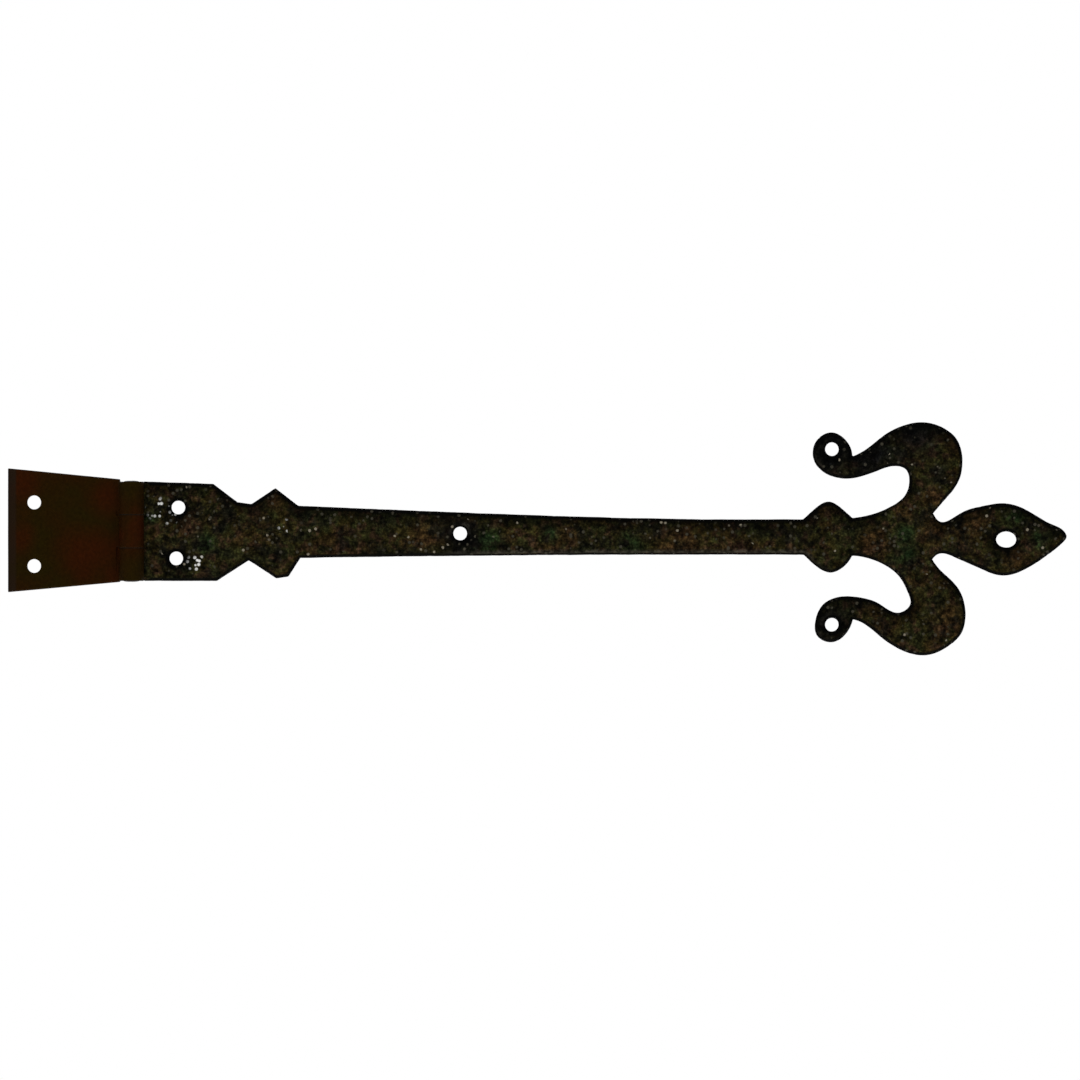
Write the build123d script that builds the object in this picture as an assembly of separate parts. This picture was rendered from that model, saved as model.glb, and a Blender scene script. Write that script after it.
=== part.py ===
# Hand-forged strap hinge with a fleur-de-lis tip: jamb leaf, strap leaf, two welded arms, pin.
# Millimetres. The pin stands along Z, the strap runs along +X, and the flat backs of both
# leaves lie in the plane Y = 0 with the barrel and the front faces toward -Y. The origin is
# on that plane, straight behind the middle of the pin.
import os

from build123d import *

# iron stock and the barrel rolled from it
LEAF_T = 3.0
PIN_D = 4.8
PIN_R = PIN_D / 2
BARREL_R = PIN_R + LEAF_T
AXIS_Y = -BARREL_R
BARREL_TOP = 21.2
BARREL_BOTTOM = -21.5
KNUCKLE_TOP = 7.0
KNUCKLE_BOTTOM = -7.3
KNUCKLE_GAP = 0.16
RUN_CLEARANCE = 0.06
CURL_SEAM = 0.3
SHOULDER_X = 5.1

# the peened ends of the pin, set in countersinks
PEEN_R = 3.5
PEEN_DEPTH = 1.1
PEEN_DOME = 0.4
PEEN_FLAT_R = 2.2

# hammered-off front edge
EDGE_BEVEL = 1.3
JAMB_EDGE_BREAK = 0.5
JAMB_END_BEVEL = 3.0
JAMB_END_DROP = 1.0

# jamb leaf
JAMB_END_X = -53.4
JAMB_END_TOP = 27.0
JAMB_END_BOTTOM = -26.4
JAMB_ROOT_TOP = 22.3
JAMB_ROOT_BOTTOM = -22.0
JAMB_HOLE_X = -42.1
JAMB_HOLES_Z = (12.3, -15.1)

# forge welds that join the arms of the lily to the strap, each from its eye's side
UPPER_WELD = [(320, 12.4), (350, 6.7)]
LOWER_WELD = [(318, -17), (350, -11.4)]

# holes
HOLE_D = 6.0
ROOT_HOLES = ((20.05, 10.1), (19.1, -11.8))
STRAP_HOLE = (141.5, -1.1)
SCROLL_HOLE_X = 301.7
SCROLL_HOLES_Z = (35.2, -40.4)
PETAL_HOLE = (376.8, -3.7)
PETAL_HOLE_LONG = 8.8
PETAL_HOLE_HIGH = 7.0


def plate(outline, holes):
    """Iron plate of the leaf thickness standing against Y = 0, with its drifted holes."""
    face = make_face(Plane.XZ * outline)
    blank = extrude(face, LEAF_T, dir=(0, -1, 0))
    return blank - holes


def drifted_hole(x, z, across=HOLE_D, high=HOLE_D):
    """A straight hole through a leaf; across and high differ on an oval one."""
    mouth = Ellipse(across / 2, high / 2) if across != high else Circle(across / 2)
    cutter = extrude(mouth, 2 * LEAF_T, both=True)
    return Pos(x, 0, z) * Rot(90, 0, 0) * cutter


def rolled_knuckle(bottom, top, side, bore_r):
    """One knuckle rolled toward the front; side is +1 for the strap leaf, -1 for the jamb.

    The strip leaves the leaf along its back, passes round the pin and closes on the leaf's own
    front, where a narrow seam stays open from the bore to the outside."""
    ring = Pos(0, AXIS_Y) * Circle(BARREL_R)
    tail = Pos(side * SHOULDER_X / 2, -LEAF_T / 2) * Rectangle(SHOULDER_X, LEAF_T)
    seam = Pos(side * BARREL_R / 2, -LEAF_T - CURL_SEAM / 2) * Rectangle(BARREL_R, CURL_SEAM)
    bore = Pos(0, AXIS_Y) * Circle(bore_r)
    profile = ring + tail - seam - bore
    return Pos(0, 0, bottom) * extrude(profile, top - bottom)


def front_outline_edges(leaf, past_x):
    """Edges round the front face that lie beyond past_x, holes left out."""
    front = leaf.faces().filter_by(Axis.Y).sort_by(Axis.Y)[0]
    edges = front.outer_wire().edges()
    return edges.filter_by(lambda e: abs(e.center().X) > past_x)


def countersink(mouth_z, inward):
    """The flared end of a knuckle's bore that the peened pin fills; inward is its Z sign."""
    cone = Cone(PEEN_R, PIN_R, PEEN_DEPTH, align=(Align.CENTER, Align.CENTER, Align.MIN))
    turn = Rot(0, 0, 0) if inward > 0 else Rot(180, 0, 0)
    return Pos(0, AXIS_Y, mouth_z) * turn * cone


def jamb_leaf():
    """Plain tapered leaf with two holes, rolled into the upper and lower knuckles."""
    outline = Polyline(
        (-SHOULDER_X, JAMB_ROOT_TOP),
        (JAMB_END_X, JAMB_END_TOP),
        (JAMB_END_X, JAMB_END_BOTTOM),
        (-SHOULDER_X, JAMB_ROOT_BOTTOM),
        close=True,
    )
    holes = [drifted_hole(JAMB_HOLE_X, z) for z in JAMB_HOLES_Z]
    leaf = plate(outline, holes)
    front = leaf.faces().sort_by(Axis.Y)[0]
    end = front.outer_wire().edges().sort_by(Axis.X)[0]
    leaf = chamfer(end, JAMB_END_BEVEL, JAMB_END_DROP, reference=front)
    long_edges = front_outline_edges(leaf, 2 * SHOULDER_X).filter_by(Axis.Z, reverse=True)
    leaf = chamfer(long_edges, JAMB_EDGE_BREAK)
    leaf += rolled_knuckle(KNUCKLE_TOP + KNUCKLE_GAP / 2, BARREL_TOP, -1, PIN_R)
    leaf += rolled_knuckle(BARREL_BOTTOM, KNUCKLE_BOTTOM - KNUCKLE_GAP / 2, -1, PIN_R)
    leaf -= countersink(BARREL_TOP, -1)
    leaf -= countersink(BARREL_BOTTOM, 1)
    return leaf


def strap_outline():
    """Edge of the forging, clockwise from the top of the root plate."""
    root_top = Polyline(
        (SHOULDER_X, 21.3),
        (35.0, 20.3),
        (45.5, 12.4),
        (51.5, 11.6),
        (61.8, 18.4),
        (71.8, 10.8),
    )
    strap_top = Spline(
        root_top @ 1,
        (140.0, 8.0),
        (208.0, 5.7),
        (289.3, 5.0),
    )
    tip_collar_top = Spline(
        strap_top @ 1,
        (293.8, 9.1),
        (300.6, 12.6),
        (305.5, 10.0),
        (310.6, 5.5),
    )
    upper_scroll = Spline(
        tip_collar_top @ 1,
        (320.5, 7.6),
        (328.2, 11.1),
        (333.2, 15.2),
        (335.2, 21.5),
        (333.6, 26.6),
        (329.0, 28.0),
        (322.0, 26.2),
        (308.0, 22.6),
        (298.6, 25.2),
        (293.9, 31.0),
        (295.0, 38.6),
        (301.6, 42.4),
        (307.4, 39.4),
        (310.4, 32.0),
    )
    upper_arm = Spline(
        upper_scroll @ 1,
        (318.6, 36.8),
        (324.2, 41.2),
        (333.1, 45.6),
        (338.8, 46.8),
        (349.4, 44.6),
        (355.4, 39.7),
        (358.0, 31.4),
        (356.0, 20.8),
        (350.0, 13.0),
        (345.4, 7.6),
    )
    petal = Spline(
        upper_arm @ 1,
        (349.0, 3.8),
        (358.2, 8.1),
        (367.5, 10.8),
        (376.0, 11.9),
        (384.8, 9.4),
        (396.6, 2.8),
        (401.6, 0.0),
        (402.8, -2.4),
        (401.2, -5.0),
        (394.8, -10.2),
        (386.6, -15.7),
        (375.4, -19.2),
        (364.2, -15.5),
        (356.0, -11.9),
        (348.4, -9.7),
        (345.0, -12.2),
    )
    lower_arm = Spline(
        petal @ 1,
        (347.9, -16.2),
        (355.8, -24.3),
        (359.3, -35.0),
        (357.4, -44.2),
        (351.2, -50.0),
        (342.5, -53.5),
        (331.4, -51.2),
        (322.4, -45.3),
        (316.3, -40.4),
        (310.6, -38.0),
    )
    lower_scroll = Spline(
        lower_arm @ 1,
        (308.1, -43.8),
        (302.0, -47.9),
        (295.6, -45.4),
        (294.8, -37.9),
        (298.2, -31.4),
        (304.0, -28.6),
        (314.7, -28.8),
        (322.1, -31.4),
        (330.8, -35.2),
        (335.6, -31.6),
        (334.4, -26.2),
        (331.6, -20.6),
        (325.3, -15.1),
        (310.4, -10.6),
    )
    tip_collar_bottom = Spline(
        lower_scroll @ 1,
        (306.5, -15.6),
        (301.2, -17.9),
        (294.0, -14.4),
        (289.6, -10.2),
    )
    strap_bottom = Spline(
        tip_collar_bottom @ 1,
        (215.0, -10.2),
        (140.0, -10.7),
        (72.6, -11.6),
    )
    root_bottom = Polyline(
        strap_bottom @ 1,
        (67.4, -19.6),
        (62.2, -20.4),
        (50.3, -12.6),
        (36.6, -21.5),
        (SHOULDER_X, -21.5),
        root_top @ 0,
    )
    tip_top = tip_collar_top + upper_scroll + upper_arm
    tip_bottom = lower_arm + lower_scroll + tip_collar_bottom
    return root_top + strap_top + tip_top + petal + tip_bottom + strap_bottom + root_bottom


def forged_blank():
    """The whole long leaf as it lies on the anvil, drifted and bevelled, arms in place."""
    spots = list(ROOT_HOLES) + [STRAP_HOLE]
    spots += [(SCROLL_HOLE_X, z) for z in SCROLL_HOLES_Z]
    holes = [drifted_hole(x, z) for x, z in spots]
    holes.append(drifted_hole(*PETAL_HOLE, PETAL_HOLE_LONG, PETAL_HOLE_HIGH))
    blank = plate(strap_outline(), holes)
    return chamfer(front_outline_edges(blank, 2 * SHOULDER_X), EDGE_BEVEL)


def arm_space(weld, notch, far_side, eye_side):
    """The space that holds one arm of the lily: past its weld, and clear of the rest.

    weld is the line where its foot joins the strap, from the eye's end to the petal's; notch is
    where that space passes between the arm and the petal, and the sides bound it outside."""
    corners = [*weld, *notch, *far_side, *eye_side]
    face = make_face(Plane.XZ * Polyline(*corners, close=True))
    return extrude(face, 2 * LEAF_T, both=True)


def upper_arm_space():
    return arm_space(UPPER_WELD, [(366, 16)], [(366, 60), (285, 60)], [(285, 17), (318, 17)])


def lower_arm_space():
    return arm_space(
        LOWER_WELD, [(352, -13.5), (366, -24)], [(366, -60), (285, -60)], [(285, -22)]
    )


def upper_scroll():
    """Upper arm of the lily: a bar curled back to an eye, its foot welded to the strap."""
    return forged_blank() & upper_arm_space()


def lower_scroll():
    """Lower arm of the lily, hammered a little fuller than the upper one."""
    return forged_blank() & lower_arm_space()


def strap_leaf():
    """Root plate, neck, two swellings, strap and middle petal in one bar, with its knuckle."""
    bar = forged_blank() - upper_arm_space() - lower_arm_space()
    knuckle_bottom = KNUCKLE_BOTTOM + KNUCKLE_GAP / 2
    knuckle_top = KNUCKLE_TOP - KNUCKLE_GAP / 2
    return bar + rolled_knuckle(knuckle_bottom, knuckle_top, 1, PIN_R + RUN_CLEARANCE)


def hinge_pin():
    """Straight pin through all three knuckles with both ends peened over."""
    outline = Polyline(
        (0, BARREL_BOTTOM - PEEN_DOME),
        (PEEN_FLAT_R, BARREL_BOTTOM - PEEN_DOME),
        (PEEN_R, BARREL_BOTTOM),
        (PIN_R, BARREL_BOTTOM + PEEN_DEPTH),
        (PIN_R, BARREL_TOP - PEEN_DEPTH),
        (PEEN_R, BARREL_TOP),
        (PEEN_FLAT_R, BARREL_TOP + PEEN_DOME),
        (0, BARREL_TOP + PEEN_DOME),
        close=True,
    )
    half = make_face(Plane.XZ * outline)
    return Pos(0, AXIS_Y) * revolve(half, Axis.Z)


os.makedirs("parts", exist_ok=True)
export_step(jamb_leaf(), "parts/jamb_leaf.step")
export_step(strap_leaf(), "parts/strap_leaf.step")
export_step(upper_scroll(), "parts/upper_scroll.step")
export_step(lower_scroll(), "parts/lower_scroll.step")
export_step(hinge_pin(), "parts/hinge_pin.step")
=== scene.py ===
# Strap hinge with a fleur-de-lis tip, hand-forged from flat iron bar: a long strap leaf with two
# scrolled arms welded to it, a plain jamb leaf, and the pin that joins them.
import math

import bpy
import numpy as np
from mathutils.kdtree import KDTree
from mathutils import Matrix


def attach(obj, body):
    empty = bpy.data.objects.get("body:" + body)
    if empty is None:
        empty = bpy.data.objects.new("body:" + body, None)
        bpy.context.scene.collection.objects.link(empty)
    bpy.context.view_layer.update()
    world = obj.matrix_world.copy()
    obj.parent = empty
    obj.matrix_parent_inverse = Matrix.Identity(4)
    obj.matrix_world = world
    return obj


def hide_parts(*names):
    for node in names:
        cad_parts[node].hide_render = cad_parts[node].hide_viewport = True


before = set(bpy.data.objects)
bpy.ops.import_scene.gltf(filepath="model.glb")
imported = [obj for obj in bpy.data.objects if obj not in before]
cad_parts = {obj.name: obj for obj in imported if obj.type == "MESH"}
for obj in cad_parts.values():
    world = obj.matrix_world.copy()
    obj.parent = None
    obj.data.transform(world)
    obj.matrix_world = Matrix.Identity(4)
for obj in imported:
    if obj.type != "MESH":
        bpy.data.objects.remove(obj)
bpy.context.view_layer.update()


# ---------------------------------------------------------------- strap leaf
# One bar of wrought iron: root plate with two nail holes, a necked shoulder, two swellings, the
# long taper and the middle petal. It is drawn out under the hammer, so the faces are slightly
# dished, the front edges are knocked off, and fire scale and old rust have left it pitted.

MM = 0.001
STRAP_VOXEL = 0.48 * MM
SEAM_W = 0.3 * MM
LEAF_T = 3.0 * MM
BARREL_R = 5.4 * MM
PIN_R = 2.4 * MM
STRAP_KNUCKLE = (-7.22 * MM, 6.92 * MM)
BARREL_FINISH_X = 4.8 * MM
# how far in from its edges the painted shade and painted highlight reach (upper and lower), and
# how far out the barrel is left plain
UPPER_REACH = 7 * MM
LOWER_REACH = 3 * MM
KNUCKLE_REACH = 8 * MM
# the forge welds, where two pieces meet and there is no edge
WELD_X = 335 * MM
WELD_HALF_X = 14.5 * MM
WELD_HALF_Z = 17.5 * MM


def pick_only(piece):
    """Leaves just this piece selected and active."""
    bpy.ops.object.select_all(action="DESELECT")
    piece.select_set(True)
    bpy.context.view_layer.objects.active = piece


def bar_from(node_name, name):
    """A merged copy of one solid, with no finish on it yet."""
    piece = bpy.data.objects.new(name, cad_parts[node_name].data.copy())
    bpy.context.scene.collection.objects.link(piece)
    piece.data.materials.clear()
    pick_only(piece)
    bpy.ops.mesh.customdata_custom_splitnormals_clear()
    bpy.ops.object.mode_set(mode="EDIT")
    bpy.ops.mesh.select_all(action="SELECT")
    bpy.ops.mesh.remove_doubles(threshold=0.01 * MM)
    bpy.ops.object.mode_set(mode="OBJECT")
    return piece


def apply(piece, modifier):
    pick_only(piece)
    bpy.ops.object.modifier_apply(modifier=modifier.name)


def fill_seam(piece, side, low, high):
    """Packs the gap under the rolled knuckle while the skin is made; cut_seam opens it again."""
    from_axis = 3.1 * MM
    width = 3.0 * MM
    depth = 0.9 * MM
    short = 0.4 * MM
    bpy.ops.object.select_all(action="DESELECT")
    bpy.ops.mesh.primitive_cube_add(
        size=1,
        location=(side * from_axis, -LEAF_T, (low + high) / 2),
        scale=(width, depth, high - low - short),
    )
    bpy.ops.object.transform_apply(location=True, rotation=True, scale=True)
    piece.select_set(True)
    bpy.context.view_layer.objects.active = piece
    bpy.ops.object.join()


def cut_seam(piece, side, low, high):
    """The line where the curl of the knuckle closes against the front of its own leaf."""
    from_axis = 4.0 * MM
    width = 5.4 * MM
    over = 1.0 * MM
    bpy.ops.object.select_all(action="DESELECT")
    bpy.ops.mesh.primitive_cube_add(
        size=1,
        location=(side * from_axis, -LEAF_T - SEAM_W / 2, (low + high) / 2),
        scale=(width, SEAM_W, high - low + over),
    )
    blade = bpy.context.object
    bpy.ops.object.transform_apply(location=True, rotation=True, scale=True)
    slit = piece.modifiers.new("slit", "BOOLEAN")
    slit.operation = "DIFFERENCE"
    slit.object = blade
    slit.solver = "EXACT"
    apply(piece, slit)
    bpy.data.objects.remove(blade)


def reskin(piece, voxel):
    """An even skin, fine enough to take hammer marks and pits, drawn tight over the true shape."""
    true_shape = bpy.data.objects.new("true_shape", piece.data.copy())
    bpy.context.scene.collection.objects.link(true_shape)
    skin = piece.modifiers.new("skin", "REMESH")
    skin.mode = "VOXEL"
    skin.voxel_size = voxel
    skin.use_smooth_shade = True
    apply(piece, skin)
    tight = piece.modifiers.new("tight", "SHRINKWRAP")
    tight.target = true_shape
    tight.wrap_method = "NEAREST_SURFACEPOINT"
    apply(piece, tight)
    bpy.data.objects.remove(true_shape)
    ease = piece.modifiers.new("ease", "SMOOTH")
    ease.factor = 0.5
    ease.iterations = 2
    apply(piece, ease)


def weigh_marks(piece, knuckle_reach, knuckle_weight):
    """How deep the blows go: full on the broad faces, lighter on edges and working knuckles."""
    edge_weight = 0.3
    face_from = 0.6
    marks = piece.vertex_groups.new(name="marks")
    for v in piece.data.vertices:
        flat = max(0.0, (abs(v.normal.y) - face_from) / (1 - face_from))
        weight = edge_weight + (1 - edge_weight) * flat
        if abs(v.co.x) < knuckle_reach:
            weight = knuckle_weight
        marks.add([v.index], weight, "REPLACE")


def mark(piece, texture, depth):
    """Moves the skin in and out by a texture, as blows or rust would."""
    blows = piece.modifiers.new("marks", "DISPLACE")
    blows.texture = texture
    blows.texture_coords = "LOCAL"
    blows.direction = "NORMAL"
    blows.mid_level = 0.5
    blows.strength = depth
    blows.vertex_group = "marks"
    apply(piece, blows)


dish = bpy.data.textures.new("hammer_dish", "CLOUDS")
dish.noise_scale = 17 * MM
dish.noise_depth = 1

facets = bpy.data.textures.new("hammer_facets", "VORONOI")
facets.noise_scale = 7 * MM
facets.noise_intensity = 1.2

pits = bpy.data.textures.new("rust_pits", "CLOUDS")
pits.noise_scale = 1.9 * MM
pits.noise_depth = 3
pits.use_color_ramp = True
pits.color_ramp.elements[0].position = 0.30
pits.color_ramp.elements[0].color = (0, 0, 0, 1)
pits.color_ramp.elements[1].position = 0.50
pits.color_ramp.elements[1].color = (1, 1, 1, 1)


def hammered(piece):
    """The three scales of mark left on black forged iron."""
    mark(piece, dish, 0.55 * MM)
    mark(piece, facets, 0.35 * MM)
    mark(piece, pits, 0.22 * MM)


def points_of(piece):
    """Every point of a piece, one row each."""
    points = np.empty(len(piece.data.vertices) * 3)
    piece.data.vertices.foreach_get("co", points)
    return points.reshape(-1, 3)


def store_colour(piece, name, rows):
    """Keeps one colour for each point, for a finish to read by name."""
    layer = piece.data.attributes.new(name, "FLOAT_COLOR", "POINT")
    layer.data.foreach_set("color", rows.ravel())


def paint_tones(piece, places):
    """Stores soot, green bloom and rust as a colour on each point, fading out from each place."""
    points = points_of(piece)
    tones = np.zeros((len(points), 4))
    for channel, x, z, reach in places:
        away = np.hypot(points[:, 0] - x * MM, points[:, 2] - z * MM) / (reach * MM)
        fade = np.clip(1.4 - 1.2 * away, 0, 1)
        tones[:, channel] = np.maximum(tones[:, channel], fade)
    store_colour(piece, "tones", tones)


def measure_rims(piece):
    """Stores how near each point lies to an upward edge (R), a downward edge (G), any edge (B)."""
    side_on = 0.5
    sloped = 0.35
    points = points_of(piece)
    points[:, 1] = 0
    normals = np.array([v.normal[:] for v in piece.data.vertices])
    welded = (np.abs(points[:, 0] - WELD_X) < WELD_HALF_X) & (np.abs(points[:, 2]) < WELD_HALF_Z)
    side = (np.abs(normals[:, 1]) < side_on) & ~welded & (points[:, 0] > KNUCKLE_REACH)
    rise = normals[:, 2]
    rims = np.zeros((len(points), 4))
    # the three distances drive painted shade toward upward edges, a painted highlight along
    # downward edges, and painted shade along every edge
    for channel, chosen, reach in (
        (0, side & (rise > sloped), UPPER_REACH),
        (1, side & (rise < -sloped), LOWER_REACH),
        (2, side, LOWER_REACH),
    ):
        edge = points[chosen].tolist()
        near = KDTree(len(edge))
        for index, point in enumerate(edge):
            near.insert(point, index)
        near.balance()
        away = np.array([near.find(point)[2] for point in points.tolist()])
        rims[:, channel] = np.clip(1 - away / reach, 0, 1)
    store_colour(piece, "rims", rims)


def node(tree, kind, settings=None, **links):
    """Adds a shader node; a link value is a socket to join or a plain value to set."""
    made = tree.nodes.new(kind)
    for key, value in (settings or {}).items():
        setattr(made, key, value)
    for key, value in links.items():
        socket = made.inputs[key.replace("_", " ")]
        if isinstance(value, bpy.types.NodeSocket):
            tree.links.new(value, socket)
        else:
            socket.default_value = value
    return made


def stored(tree, name):
    """The three parts of a colour kept on the points of a piece."""
    kept = tree.nodes.new("ShaderNodeAttribute")
    kept.attribute_name = name
    return node(tree, "ShaderNodeSeparateColor", Color=kept.outputs["Color"])


def ramp(tree, factor, stops):
    """A colour ramp over (position, colour) stops; a single number is a grey."""
    made = tree.nodes.new("ShaderNodeValToRGB")
    tree.links.new(factor, made.inputs["Fac"])
    band = made.color_ramp
    while len(band.elements) < len(stops):
        band.elements.new(0.5)
    for element, (at, colour) in zip(band.elements, stops):
        element.position = at
        grey = not isinstance(colour, tuple)
        element.color = (colour, colour, colour, 1) if grey else (*colour, 1)
    return made.outputs["Color"]


def mix(tree, factor, a, b, blend="MIX"):
    """Colour b over colour a by factor."""
    made = tree.nodes.new("ShaderNodeMix")
    made.data_type = "RGBA"
    made.blend_type = blend
    made.clamp_factor = True
    for index, value in ((0, factor), (6, a), (7, b)):
        if isinstance(value, bpy.types.NodeSocket):
            tree.links.new(value, made.inputs[index])
        elif index == 0:
            made.inputs[0].default_value = value
        else:
            made.inputs[index].default_value = (*value, 1)
    return made.outputs[2]


def times(tree, a, b):
    """One number times another."""
    made = tree.nodes.new("ShaderNodeMath")
    made.operation = "MULTIPLY"
    for index, value in ((0, a), (1, b)):
        if isinstance(value, bpy.types.NodeSocket):
            tree.links.new(value, made.inputs[index])
        else:
            made.inputs[index].default_value = value
    return made.outputs[0]


def plus(tree, a, b):
    """One number added to another."""
    made = tree.nodes.new("ShaderNodeMath")
    made.operation = "ADD"
    tree.links.new(a, made.inputs[0])
    tree.links.new(b, made.inputs[1])
    return made.outputs[0]


def either(tree, a, b):
    """The larger of two masks."""
    made = tree.nodes.new("ShaderNodeMath")
    made.operation = "MAXIMUM"
    tree.links.new(a, made.inputs[0])
    tree.links.new(b, made.inputs[1])
    return made.outputs[0]


def bump(tree, height, strength, distance, under=None):
    """Fine relief; under is the relief that it lies on."""
    made = node(tree, "ShaderNodeBump", Height=height, Strength=strength, Distance=distance)
    if under is not None:
        tree.links.new(under, made.inputs["Normal"])
    return made.outputs["Normal"]


# where a hammer slipped beside the nail holes and laid the iron bare in chips, painted near-white
# as glints: x, z and reach
CHIP_GLINT_SPOTS = (
    (11.5 * MM, 9.5 * MM, 6.0 * MM),
    (16.5 * MM, 6.0 * MM, 4.0 * MM),
    (28.0 * MM, -14.0 * MM, 5.0 * MM),
    (66.0 * MM, 2.0 * MM, 3.5 * MM),
)
# painted shade: near black for the edges and sides of the iron
PAINTED_EDGE_SHADE = (0.0009, 0.0009, 0.0008)


def blackened_iron():
    """Fire scale near black, with brown, olive and green bloom, pale and bare specks, painted
    glints, black edges painted as shade, painted shade toward the upper edges and a painted
    highlight along the lower ones.
    """
    material = bpy.data.materials.new("blackened_iron")
    material.use_nodes = True
    tree = material.node_tree
    shader = tree.nodes["Principled BSDF"]
    place = tree.nodes.new("ShaderNodeTexCoord").outputs["Object"]
    spot = node(tree, "ShaderNodeSeparateXYZ", Vector=place)

    bloom = node(
        tree, "ShaderNodeTexNoise", Vector=place, Scale=62.0, Detail=5.0, Roughness=0.62
    )
    colour = ramp(
        tree,
        bloom.outputs["Fac"],
        [
            (0.30, (0.0060, 0.0082, 0.0034)),
            (0.42, (0.0095, 0.0092, 0.0028)),
            (0.50, (0.0130, 0.0106, 0.0026)),
            (0.58, (0.0150, 0.0094, 0.0026)),
            (0.72, (0.0175, 0.0088, 0.0048)),
        ],
    )
    patch = node(
        tree, "ShaderNodeTexNoise", Vector=place, Scale=230.0, Detail=2.0, Roughness=0.55
    )
    hues = node(tree, "ShaderNodeSeparateColor", Color=patch.outputs["Color"])
    reddish = ramp(tree, hues.outputs["Red"], [(0.52, 0.0), (0.62, 0.75)])
    colour = mix(tree, reddish, colour, (0.0205, 0.0105, 0.0056))
    olive = ramp(tree, hues.outputs["Green"], [(0.52, 0.0), (0.62, 0.75)])
    colour = mix(tree, olive, colour, (0.0118, 0.0128, 0.0036))
    shade = node(
        tree, "ShaderNodeTexNoise", Vector=place, Scale=130.0, Detail=7.0, Roughness=0.72
    )
    tones = stored(tree, "tones")
    ragged = ramp(tree, shade.outputs["Fac"], [(0.36, 0.25), (0.56, 1.0)])
    green = times(tree, times(tree, tones.outputs["Green"], ragged), 0.8)
    colour = mix(tree, green, colour, (0.0046, 0.0122, 0.0038))
    rust = times(tree, times(tree, tones.outputs["Blue"], ragged), 0.75)
    colour = mix(tree, rust, colour, (0.0235, 0.0120, 0.0042))
    dark_patch = ramp(tree, shade.outputs["Fac"], [(0.40, 0.85), (0.52, 0.0)])
    colour = mix(tree, dark_patch, colour, (0.0030, 0.0028, 0.0020))
    soot = times(tree, tones.outputs["Red"], 0.9)
    colour = mix(tree, soot, colour, (0.0022, 0.0023, 0.0024))

    mottle = node(
        tree, "ShaderNodeTexNoise", Vector=place, Scale=380.0, Detail=4.0, Roughness=0.65
    )
    mottle_tone = ramp(tree, mottle.outputs["Fac"], [(0.36, 0.24), (0.50, 1.0), (0.64, 2.3)])
    colour = mix(tree, 1.0, colour, mottle_tone, "MULTIPLY")
    grain = node(
        tree, "ShaderNodeTexNoise", Vector=place, Scale=1050.0, Detail=2.0, Roughness=0.5
    )
    grain_tone = ramp(tree, grain.outputs["Fac"], [(0.36, 0.62), (0.50, 0.95), (0.66, 1.75)])
    colour = mix(tree, 1.0, colour, grain_tone, "MULTIPLY")

    rims = stored(tree, "rims")
    ragged_edge = node(
        tree, "ShaderNodeMapRange", Value=mottle.outputs["Fac"],
        From_Min=0.3, From_Max=0.7, To_Min=-0.10, To_Max=0.10,
    ).outputs["Result"]
    # painted shade: darker toward upward-facing edges (the top of the bar and under the holes), a
    # little lighter away from them
    upper = plus(tree, rims.outputs["Red"], ragged_edge)
    painted_top_shade = ramp(
        tree, upper, [(0.12, 1.12), (0.42, 0.62), (0.72, 0.50), (0.80, 0.28), (0.89, 0.06)]
    )
    in_front = node(
        tree, "ShaderNodeMapRange", Value=spot.outputs["Y"],
        From_Min=-1.2 * MM, From_Max=-1.6 * MM, To_Min=0.35, To_Max=1.0,
    ).outputs["Result"]
    colour = mix(tree, in_front, colour, mix(tree, 1.0, colour, painted_top_shade, "MULTIPLY"))
    past_hole = node(
        tree, "ShaderNodeMapRange", Value=spot.outputs["X"],
        From_Min=128 * MM, From_Max=150 * MM,
    ).outputs["Result"]
    before_lily = node(
        tree, "ShaderNodeMapRange", Value=spot.outputs["X"],
        From_Min=302 * MM, From_Max=288 * MM,
    ).outputs["Result"]
    on_bar = times(tree, past_hole, before_lily)
    # painted highlight: a pale line along the lower edges of the bar
    lower = plus(tree, rims.outputs["Green"], ragged_edge)
    painted_ridge_highlight = ramp(tree, lower, [(0.15, 0.0), (0.50, 0.55), (0.66, 0.85), (0.80, 0.0)])
    ridge_highlight_colour = mix(tree, 1.0, (0.026, 0.0235, 0.0180), mottle_tone, "MULTIPLY")
    colour = mix(tree, times(tree, painted_ridge_highlight, on_bar), colour, ridge_highlight_colour)
    # painted shade: a black band along every edge, broad on the bar and thin elsewhere
    outline = plus(tree, rims.outputs["Blue"], ragged_edge)
    thin = ramp(tree, outline, [(0.78, 0.0), (0.86, 0.92)])
    broad = ramp(tree, outline, [(0.52, 0.0), (0.66, 0.92)])
    black = times(tree, mix(tree, on_bar, broad, thin), in_front)
    colour = mix(tree, black, colour, PAINTED_EDGE_SHADE)

    chips = node(tree, "ShaderNodeTexVoronoi", Vector=place, Scale=560.0, Randomness=1.0)
    in_chip = ramp(tree, chips.outputs["Distance"], [(0.30, 1.0), (0.46, 0.0)])
    lot = node(tree, "ShaderNodeSeparateColor", Color=chips.outputs["Color"])
    few = ramp(tree, lot.outputs["Red"], [(0.86, 0.0), (0.92, 0.8)])
    colour = mix(tree, times(tree, in_chip, few), colour, (0.048, 0.043, 0.030))
    # painted highlight: rare near-white specks that stand for glints off the scale
    painted_glint = ramp(tree, lot.outputs["Green"], [(0.982, 0.0), (0.989, 1.0)])
    colour = mix(tree, times(tree, in_chip, painted_glint), colour, (0.19, 0.165, 0.12))

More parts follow.
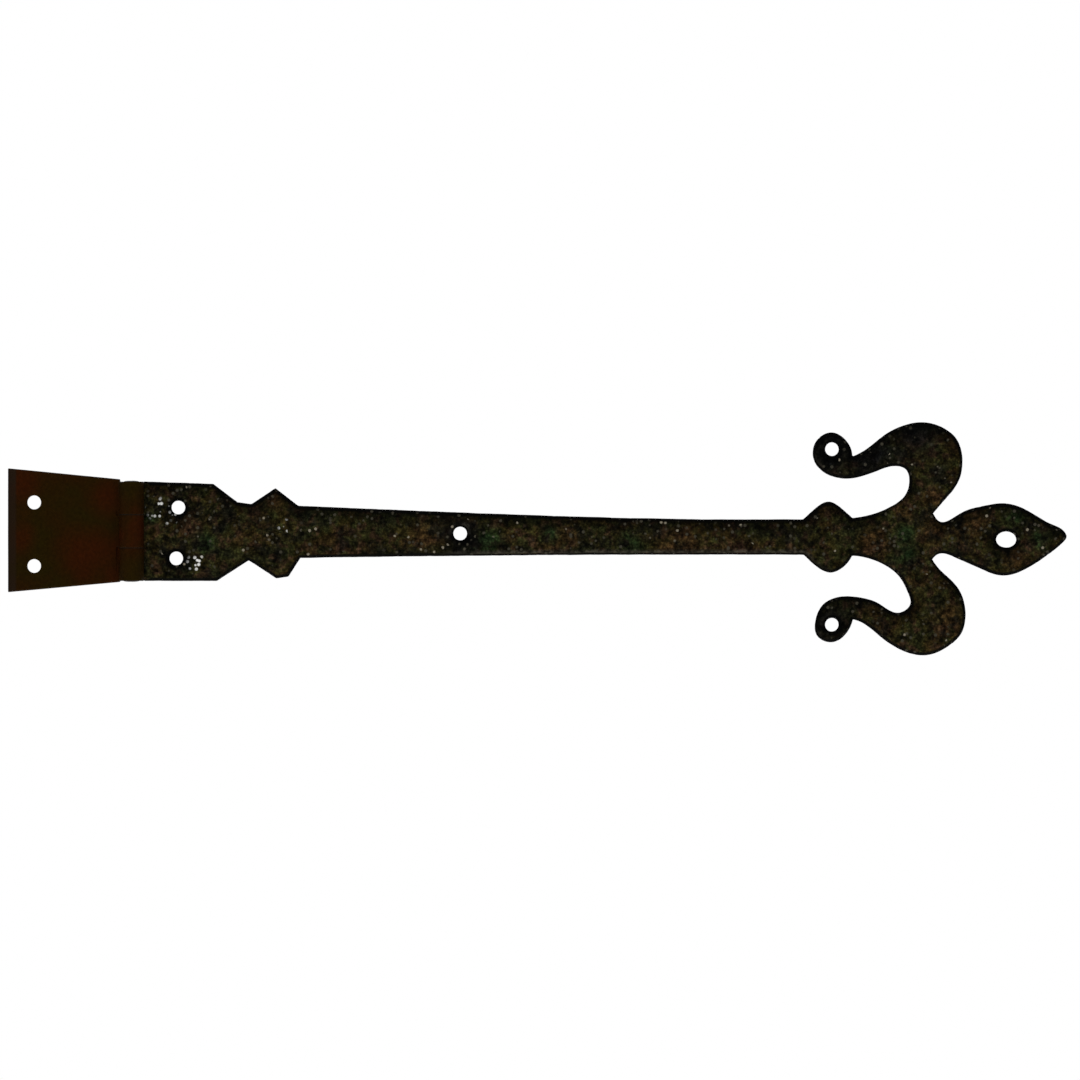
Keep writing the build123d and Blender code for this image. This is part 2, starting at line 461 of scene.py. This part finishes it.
    near_chip_glint_spot = None
    for x, z, reach in CHIP_GLINT_SPOTS:
        gap = node(tree, "ShaderNodeVectorMath", {"operation": "DISTANCE"})
        tree.links.new(place, gap.inputs[0])
        gap.inputs[1].default_value = (x, -LEAF_T, z)
        near = node(
            tree, "ShaderNodeMapRange", Value=gap.outputs["Value"],
            From_Min=reach, From_Max=reach * 0.3,
        ).outputs["Result"]
        near_chip_glint_spot = near if near_chip_glint_spot is None else either(tree, near_chip_glint_spot, near)
    # bare chips painted near-white: partly wear, partly a painted highlight
    many = ramp(tree, lot.outputs["Blue"], [(0.50, 0.0), (0.54, 1.0)])
    bared_chip_glint = times(tree, times(tree, in_chip, many), near_chip_glint_spot)
    colour = mix(tree, bared_chip_glint, colour, (0.72, 0.71, 0.68))

    # painted shade: bevels and sides that fall back from the front face are painted black, along
    # an uneven line
    uneven = node(
        tree, "ShaderNodeMapRange", Value=mottle.outputs["Fac"],
        From_Min=0.3, From_Max=0.7, To_Min=-0.28 * MM, To_Max=0.28 * MM,
    ).outputs["Result"]
    height = plus(tree, spot.outputs["Y"], uneven)
    depth = node(
        tree, "ShaderNodeMapRange", Value=height,
        From_Min=-LEAF_T + 0.35 * MM, From_Max=-LEAF_T + 0.85 * MM,
    ).outputs["Result"]
    painted_bevel_shade = times(tree, times(tree, depth, in_front), 0.95)
    colour = mix(tree, painted_bevel_shade, colour, PAINTED_EDGE_SHADE)

    tree.links.new(colour, shader.inputs["Base Color"])
    rough = ramp(tree, grain.outputs["Fac"], [(0.35, 0.80), (0.65, 0.52)])
    tree.links.new(rough, shader.inputs["Roughness"])
    shader.inputs["Metallic"].default_value = 0.0
    shader.inputs["Specular IOR Level"].default_value = 0.015

    coarse = node(
        tree, "ShaderNodeTexNoise", Vector=place, Scale=430.0, Detail=8.0, Roughness=0.68
    )
    skin = bump(tree, coarse.outputs["Fac"], 0.7, 0.6 * MM)
    skin = bump(tree, grain.outputs["Fac"], 0.5, 0.15 * MM, skin)
    tree.links.new(skin, shader.inputs["Normal"])
    return material


def brown_iron():
    """Smooth iron with an even red-brown oxide, a soft shine, darker corners painted as shade on
    its bevels and sides, and a greyer worn end that is partly a painted highlight.
    """
    material = bpy.data.materials.new("brown_iron")
    material.use_nodes = True
    tree = material.node_tree
    shader = tree.nodes["Principled BSDF"]
    place = tree.nodes.new("ShaderNodeTexCoord").outputs["Object"]
    spot = node(tree, "ShaderNodeSeparateXYZ", Vector=place)

    broad = node(
        tree, "ShaderNodeTexNoise", Vector=place, Scale=40.0, Detail=3.0, Roughness=0.5
    )
    colour = ramp(
        tree,
        broad.outputs["Fac"],
        [
            (0.37, (0.0086, 0.0056, 0.0004)),
            (0.47, (0.0106, 0.0047, 0.0004)),
            (0.56, (0.0128, 0.0042, 0.0004)),
            (0.64, (0.0175, 0.0038, 0.0006)),
        ],
    )
    tones = stored(tree, "tones")
    patchy = ramp(tree, broad.outputs["Fac"], [(0.35, 0.5), (0.55, 1.0)])
    red = times(tree, tones.outputs["Blue"], patchy)
    colour = mix(tree, red, colour, (0.0200, 0.0037, 0.0005))
    grain = node(
        tree, "ShaderNodeTexNoise", Vector=place, Scale=700.0, Detail=3.0, Roughness=0.6
    )
    grain_tone = ramp(tree, grain.outputs["Fac"], [(0.35, 0.80), (0.65, 1.22)])
    colour = mix(tree, 1.0, colour, grain_tone, "MULTIPLY")

    # the greyer end: real wear, also standing in as a painted highlight along the bevel
    filed_wear_and_highlight = node(
        tree, "ShaderNodeMapRange", Value=spot.outputs["X"],
        From_Min=-49.4 * MM, From_Max=-50.3 * MM,
    ).outputs["Result"]
    filed_wear_and_highlight = times(tree, filed_wear_and_highlight, ramp(tree, broad.outputs["Fac"], [(0.35, 0.55), (0.6, 1.0)]))
    colour = mix(tree, filed_wear_and_highlight, colour, (0.0105, 0.0062, 0.0040))

    # painted shade: the bevels and sides that fall back from the front face are painted darker
    depth = node(
        tree, "ShaderNodeMapRange", Value=spot.outputs["Y"],
        From_Min=-LEAF_T + 0.5 * MM, From_Max=-LEAF_T + 1.2 * MM,
    ).outputs["Result"]
    colour = mix(tree, times(tree, depth, 0.6), colour, (0.0035, 0.0022, 0.0012))
    relief = tree.nodes.new("ShaderNodeNewGeometry").outputs["Pointiness"]
    rubbed = ramp(tree, relief, [(0.52, 0.0), (0.62, 0.5)])
    colour = mix(tree, rubbed, colour, (0.022, 0.013, 0.008))

    tree.links.new(colour, shader.inputs["Base Color"])
    rough = ramp(tree, broad.outputs["Fac"], [(0.35, 0.56), (0.65, 0.44)])
    tree.links.new(rough, shader.inputs["Roughness"])
    shader.inputs["Metallic"].default_value = 0.0
    shader.inputs["Specular IOR Level"].default_value = 0.05
    shader.inputs["Specular Tint"].default_value = (1.0, 0.55, 0.2, 1)

    skin = bump(tree, broad.outputs["Fac"], 0.25, 0.6 * MM)
    skin = bump(tree, grain.outputs["Fac"], 0.25, 0.12 * MM, skin)
    tree.links.new(skin, shader.inputs["Normal"])
    return material


SOOT, GREEN, RUST = 0, 1, 2
# channel, x, z and reach in mm: soot lies round the holes and over the scrolls, where the forge
# fire burnt longest, green bloom and rust in a few larger spots
STRAP_TONES = (
    (SOOT, 20, 10, 5.5),
    (SOOT, 19, -12, 6),
    (SOOT, 141.5, -1, 10),
    (SOOT, 377, -3.7, 5.5),
    (GREEN, 8.5, 6, 4),
    (GREEN, 31, -5, 6.5),
    (GREEN, 154, -5, 8),
    (GREEN, 180, -1, 5),
    (GREEN, 215, -5, 7),
    (GREEN, 333, -2, 7),
    (GREEN, 334, -9, 6),
    (GREEN, 381, 6, 6),
    (GREEN, 391, -4, 5.5),
    (RUST, 61.5, 13, 4.5),
    (RUST, 127, -2, 8),
    (RUST, 189, -2, 6),
    (RUST, 237, -6, 9),
    (RUST, 319, -4, 7),
    (RUST, 333, 8, 4),
    (RUST, 345, 0, 7),
    (RUST, 361, 3, 8),
    (RUST, 380, -12, 6),
)

strap_finish = blackened_iron()

strap = bar_from("strap_leaf", "strap_leaf_forged")
fill_seam(strap, 1, *STRAP_KNUCKLE)
reskin(strap, STRAP_VOXEL)
weigh_marks(strap, KNUCKLE_REACH, 0.12)
hammered(strap)
cut_seam(strap, 1, *STRAP_KNUCKLE)
paint_tones(strap, STRAP_TONES)
measure_rims(strap)
strap.data.materials.append(strap_finish)
barrel_finish = brown_iron()
strap.data.materials.append(barrel_finish)
for face in strap.data.polygons:
    out = math.hypot(face.center.x, face.center.y + BARREL_R)
    rolled = face.center.y < -LEAF_T - 0.5 * SEAM_W or face.center.x < BARREL_FINISH_X
    face.material_index = 1 if out < BARREL_R + 0.2 * MM and rolled else 0
bpy.ops.object.shade_smooth()
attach(strap, "strap")
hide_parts("strap_leaf")


# ---------------------------------------------------------------- scrolled arms
# The lily's two arms are separate bars, drawn to a taper, curled back to a pierced eye and forge
# welded to the sides of the strap. Each foot runs a little way into the weld, which was hammered
# over so that it hardly shows.

ARM_VOXEL = 0.36 * MM
# the way each foot points, how deep it goes in and how much thinner it gets
UPPER_FOOT = (-0.187, 0.0, -0.982)
LOWER_FOOT = (-0.172, 0.0, 0.985)
FOOT_DEPTH = 1.2 * MM
FOOT_TAPER = (0.94, 0.8, 0.94)
FOOT_FROM_X = 324 * MM
FOOT_TO_X = 348 * MM
FOOT_HALF_Z = 16 * MM
ARM_TONES = (
    (SOOT, 301, 35, 16),
    (SOOT, 318, 34, 14),
    (SOOT, 338, 43, 13),
    (SOOT, 302, -40, 10),
    (RUST, 345, 14, 6),
    (RUST, 352, -37, 7),
)


def seat_foot(arm, foot):
    """Pushes the welded end of an arm into the strap, a little thinner than the bar."""
    pick_only(arm)
    bpy.ops.object.mode_set(mode="EDIT")
    bpy.ops.mesh.select_all(action="DESELECT")
    bpy.ops.object.mode_set(mode="OBJECT")
    for face in arm.data.polygons:
        n = face.normal
        along = n.x * foot[0] + n.z * foot[2]
        mid = face.center
        by_weld = FOOT_FROM_X < mid.x < FOOT_TO_X and abs(mid.z) < FOOT_HALF_Z
        face.select = along > 0.995 and by_weld
    bpy.ops.object.mode_set(mode="EDIT")
    bpy.ops.mesh.select_mode(type="FACE")
    bpy.ops.mesh.extrude_region_move(
        TRANSFORM_OT_translate={"value": (foot[0] * FOOT_DEPTH, 0, foot[2] * FOOT_DEPTH)}
    )
    bpy.ops.transform.resize(value=FOOT_TAPER)
    bpy.ops.object.mode_set(mode="OBJECT")


def scrolled_arm(node_name, name, foot):
    arm = bar_from(node_name, name)
    seat_foot(arm, foot)
    reskin(arm, ARM_VOXEL)
    weigh_marks(arm, 0, 0)
    hammered(arm)
    paint_tones(arm, ARM_TONES)
    measure_rims(arm)
    arm.data.materials.append(strap_finish)
    bpy.ops.object.shade_smooth()
    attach(arm, "strap")
    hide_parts(node_name)


scrolled_arm("upper_scroll", "upper_scroll_forged", UPPER_FOOT)
scrolled_arm("lower_scroll", "lower_scroll_forged", LOWER_FOOT)


# ---------------------------------------------------------------- jamb leaf
# A plain plate, cut with a flare and rolled into the outer knuckles. It has been rubbed smooth
# and has an even dark red-brown skin, worn grey where its free end was filed to a bevel; that
# grey is also a painted highlight along the bevel.

JAMB_VOXEL = 0.32 * MM
JAMB_KNUCKLES = ((7.08 * MM, 21.2 * MM), (-21.5 * MM, -7.38 * MM))
# the redder blotches of its skin
JAMB_TONES = (
    (RUST, -48, 20, 9),
    (RUST, -47, -3, 7),
    (RUST, -11, 13, 9),
    (RUST, -20, -8, 12),
)

planish = bpy.data.textures.new("planished", "CLOUDS")
planish.noise_scale = 24 * MM
planish.noise_depth = 1

jamb = bar_from("jamb_leaf", "jamb_leaf_rolled")
for low, high in JAMB_KNUCKLES:
    fill_seam(jamb, -1, low, high)
reskin(jamb, JAMB_VOXEL)
weigh_marks(jamb, KNUCKLE_REACH, 0.2)
mark(jamb, planish, 0.3 * MM)
for low, high in JAMB_KNUCKLES:
    cut_seam(jamb, -1, low, high)
paint_tones(jamb, JAMB_TONES)
jamb.data.materials.append(barrel_finish)
bpy.ops.object.shade_smooth()
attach(jamb, "jamb")
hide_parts("jamb_leaf")


# ---------------------------------------------------------------- hinge pin
# A round pin driven through the knuckles. Both ends stand in countersinks and are peened over
# with the hammer, so they are low, slightly facetted domes, rubbed brighter than the barrel.

PIN_TOP = 21.2 * MM
PIN_BOTTOM = -21.5 * MM
HEAD_DEPTH = 1.1 * MM
HEAD_R = 3.5 * MM
HEAD_EDGE = 0.2 * MM
NECK_SPREAD = 1.22
# each step of a head, from the shank out to the middle of its dome: rise, then spread
HEAD_STEPS = (
    (0.55 * HEAD_DEPTH, NECK_SPREAD),
    (0.45 * HEAD_DEPTH, HEAD_R / (PIN_R * NECK_SPREAD) * 0.985),
    (0.16 * MM, 0.92),
    (0.14 * MM, 0.80),
    (0.07 * MM, 0.62),
    (0.03 * MM, 0.40),
)


def worn_iron():
    """Dark bare iron, polished by handling and dulled again in the hollows."""
    material = bpy.data.materials.new("worn_iron")
    material.use_nodes = True
    tree = material.node_tree
    shader = tree.nodes["Principled BSDF"]
    place = tree.nodes.new("ShaderNodeTexCoord").outputs["Object"]
    mottle = node(
        tree, "ShaderNodeTexNoise", Vector=place, Scale=420.0, Detail=5.0, Roughness=0.65
    )
    colour = ramp(
        tree,
        mottle.outputs["Fac"],
        [
            (0.35, (0.014, 0.010, 0.007)),
            (0.55, (0.034, 0.027, 0.020)),
            (0.70, (0.060, 0.052, 0.042)),
        ],
    )
    tree.links.new(colour, shader.inputs["Base Color"])
    rough = ramp(tree, mottle.outputs["Fac"], [(0.35, 0.60), (0.65, 0.36)])
    tree.links.new(rough, shader.inputs["Roughness"])
    shader.inputs["Metallic"].default_value = 0.6
    skin = bump(tree, mottle.outputs["Fac"], 0.3, 0.15 * MM)
    tree.links.new(skin, shader.inputs["Normal"])
    return material


bpy.ops.object.select_all(action="DESELECT")
bpy.ops.mesh.primitive_cylinder_add(
    vertices=48,
    radius=PIN_R,
    depth=PIN_TOP - PIN_BOTTOM - 2 * HEAD_DEPTH,
    location=(0, -BARREL_R, (PIN_TOP + PIN_BOTTOM) / 2),
)
pin = bpy.context.object
pin.name = "hinge_pin_peened"
bpy.ops.object.transform_apply(location=True, rotation=True, scale=True)
for up in (1, -1):
    bpy.ops.object.mode_set(mode="EDIT")
    bpy.ops.mesh.select_all(action="DESELECT")
    bpy.ops.object.mode_set(mode="OBJECT")
    for face in pin.data.polygons:
        face.select = face.normal.z * up > 0.9
    bpy.ops.object.mode_set(mode="EDIT")
    bpy.ops.mesh.select_mode(type="FACE")
    for rise, spread in HEAD_STEPS:
        bpy.ops.mesh.extrude_region_move(TRANSFORM_OT_translate={"value": (0, 0, rise * up)})
        bpy.ops.transform.resize(value=(spread, spread, 1))
    bpy.ops.mesh.inset(thickness=0.3 * MM)
    bpy.ops.object.mode_set(mode="OBJECT")
fine = pin.modifiers.new("fine", "SUBSURF")
fine.levels = 2
fine.render_levels = 2
apply(pin, fine)
on_heads = []
for v in pin.data.vertices:
    if v.co.z > PIN_TOP - HEAD_EDGE or v.co.z < PIN_BOTTOM + HEAD_EDGE:
        on_heads.append(v.index)
pin.vertex_groups.new(name="marks").add(on_heads, 1.0, "REPLACE")
peen = bpy.data.textures.new("peen_blows", "VORONOI")
peen.noise_scale = 1.6 * MM
mark(pin, peen, 0.16 * MM)
pin.data.materials.append(worn_iron())
bpy.ops.object.shade_smooth()
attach(pin, "jamb")
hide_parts("hinge_pin")


# ---------------------------------------------------------------- painted shade in the joints
# Dark rings fill the gaps between the ends of the knuckles, round the pin: painted shade, so
# the gaps show as a dark line and let no light through.

RING_R = 5.25 * MM
RING_T = 0.24 * MM
# how far a ring reaches into the pin, and how uneven its faces are
RING_BITE = 0.05 * MM
RING_UNEVEN = 0.02 * MM


def knuckle_gap_shade():
    """Near-black painted shade for the knuckle gaps, with no shine."""
    material = bpy.data.materials.new("knuckle_gap_shade")
    material.use_nodes = True
    tree = material.node_tree
    shader = tree.nodes["Principled BSDF"]
    place = tree.nodes.new("ShaderNodeTexCoord").outputs["Object"]
    crumbs = node(tree, "ShaderNodeTexNoise", Vector=place, Scale=1400.0, Detail=4.0)
    colour = ramp(
        tree,
        crumbs.outputs["Fac"],
        [(0.35, (0.004, 0.003, 0.002)), (0.65, (0.014, 0.008, 0.004))],
    )
    tree.links.new(colour, shader.inputs["Base Color"])
    shader.inputs["Roughness"].default_value = 0.95
    shader.inputs["Specular IOR Level"].default_value = 0.1
    return material


def gap_shade_ring(name, z, finish):
    """A thin uneven collar of painted shade filling one gap of the barrel out to just under its
    surface.
    """
    bpy.ops.object.select_all(action="DESELECT")
    bpy.ops.mesh.primitive_cylinder_add(
        vertices=96, radius=RING_R, depth=RING_T, location=(0, -BARREL_R, z)
    )
    ring = bpy.context.object
    ring.name = name
    bpy.ops.object.transform_apply(location=True, rotation=True, scale=True)
    bpy.ops.object.mode_set(mode="EDIT")
    bpy.ops.mesh.select_all(action="DESELECT")
    bpy.ops.object.mode_set(mode="OBJECT")
    for face in ring.data.polygons:
        face.select = abs(face.normal.z) > 0.9
    bpy.ops.object.mode_set(mode="EDIT")
    bpy.ops.mesh.select_mode(type="FACE")
    bpy.ops.mesh.inset(thickness=RING_R - PIN_R + RING_BITE)
    bpy.ops.mesh.bridge_edge_loops()
    bpy.ops.mesh.select_all(action="SELECT")
    bpy.ops.mesh.normals_make_consistent(inside=False)
    bpy.ops.object.mode_set(mode="OBJECT")
    for v in ring.data.vertices:
        v.co.z += RING_UNEVEN * (1 if (v.index * 7) % 5 > 2 else -1)
    ring.data.materials.append(finish)
    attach(ring, "jamb")


gap_shade_finish = knuckle_gap_shade()
for name, z in (("gap_shade_upper", 7.0 * MM), ("gap_shade_lower", -7.3 * MM)):
    gap_shade_ring(name, z, gap_shade_finish)


# ---------------------------------------------------------------- floor, light and camera
# The hinge hangs in front of plain white with a pale floor far below. Broad soft lights from above
# and from the front leave the iron dark and pick out its top edges.

bpy.ops.object.select_all(action="DESELECT")
bpy.ops.mesh.primitive_circle_add(
    vertices=96, radius=2.4, fill_type="NGON", location=(0.175, 0, -0.6)
)
floor = bpy.context.object
floor.name = "floor"
bpy.ops.object.transform_apply(location=True, rotation=True, scale=True)
pale = bpy.data.materials.new("pale_floor")
pale.use_nodes = True
pale_shader = pale.node_tree.nodes["Principled BSDF"]
pale_shader.inputs["Base Color"].default_value = (0.86, 0.86, 0.86, 1)
pale_shader.inputs["Roughness"].default_value = 0.9
pale_shader.inputs["Specular IOR Level"].default_value = 0.1
pale_shader.inputs["Emission Color"].default_value = (1, 1, 1, 1)
pale_shader.inputs["Emission Strength"].default_value = 0.75
floor.data.materials.append(pale)

# plain white behind the hinge, and a softer white that lights it
world = bpy.data.worlds.new("white_surround")
bpy.context.scene.world = world
world.use_nodes = True
sky = world.node_tree
sky.nodes.clear()
seen = sky.nodes.new("ShaderNodeBackground")
seen.inputs["Color"].default_value = (1, 1, 1, 1)
seen.inputs["Strength"].default_value = 1.0
lit = sky.nodes.new("ShaderNodeBackground")
lit.inputs["Color"].default_value = (0.95, 0.97, 1.0, 1)
lit.inputs["Strength"].default_value = 0.34
path = sky.nodes.new("ShaderNodeLightPath")
choose = sky.nodes.new("ShaderNodeMixShader")
out = sky.nodes.new("ShaderNodeOutputWorld")
sky.links.new(path.outputs["Is Camera Ray"], choose.inputs["Fac"])
sky.links.new(lit.outputs["Background"], choose.inputs[1])
sky.links.new(seen.outputs["Background"], choose.inputs[2])
sky.links.new(choose.outputs["Shader"], out.inputs["Surface"])


def soft_light(name, place, aim, size, watts):
    """A square soft light at place, turned toward aim."""
    bpy.ops.object.select_all(action="DESELECT")
    bpy.ops.object.light_add(type="AREA", location=place)
    lamp = bpy.context.object
    lamp.name = name
    lamp.data.size = size
    lamp.data.energy = watts
    away = lamp.location - type(lamp.location)(aim)
    lamp.rotation_euler = away.to_track_quat("Z", "Y").to_euler()


MIDDLE = (0.176, 0, -0.004)
soft_light("overhead", (0.1, -0.2, 1.6), (0.176, 0.2, -0.6), 2.2, 12)
soft_light("front_left", (-1.1, -2.2, 0.9), MIDDLE, 1.2, 16)
soft_light("front_right", (1.5, -2.0, -0.2), MIDDLE, 1.0, 6)
soft_light("back_left", (-1.2, 2.2, 1.0), MIDDLE, 1.4, 14)
soft_light("back_right", (1.6, 2.0, 0.1), MIDDLE, 1.2, 6)

QUARTER_TURN = 1.5707963
SENSOR = 36
CAMERA_AWAY = 3.2
VIEW_WIDTH = 0.4656
bpy.ops.object.select_all(action="DESELECT")
bpy.ops.object.camera_add(location=(0.1759, -3.201, -0.0039), rotation=(QUARTER_TURN, 0, 0))
camera = bpy.context.object
camera.name = "camera"
camera.data.sensor_width = SENSOR
camera.data.lens = SENSOR * CAMERA_AWAY / VIEW_WIDTH
bpy.context.scene.camera = camera
bpy.context.scene.view_settings.view_transform = "Standard"
bpy.context.scene.view_settings.look = "None"
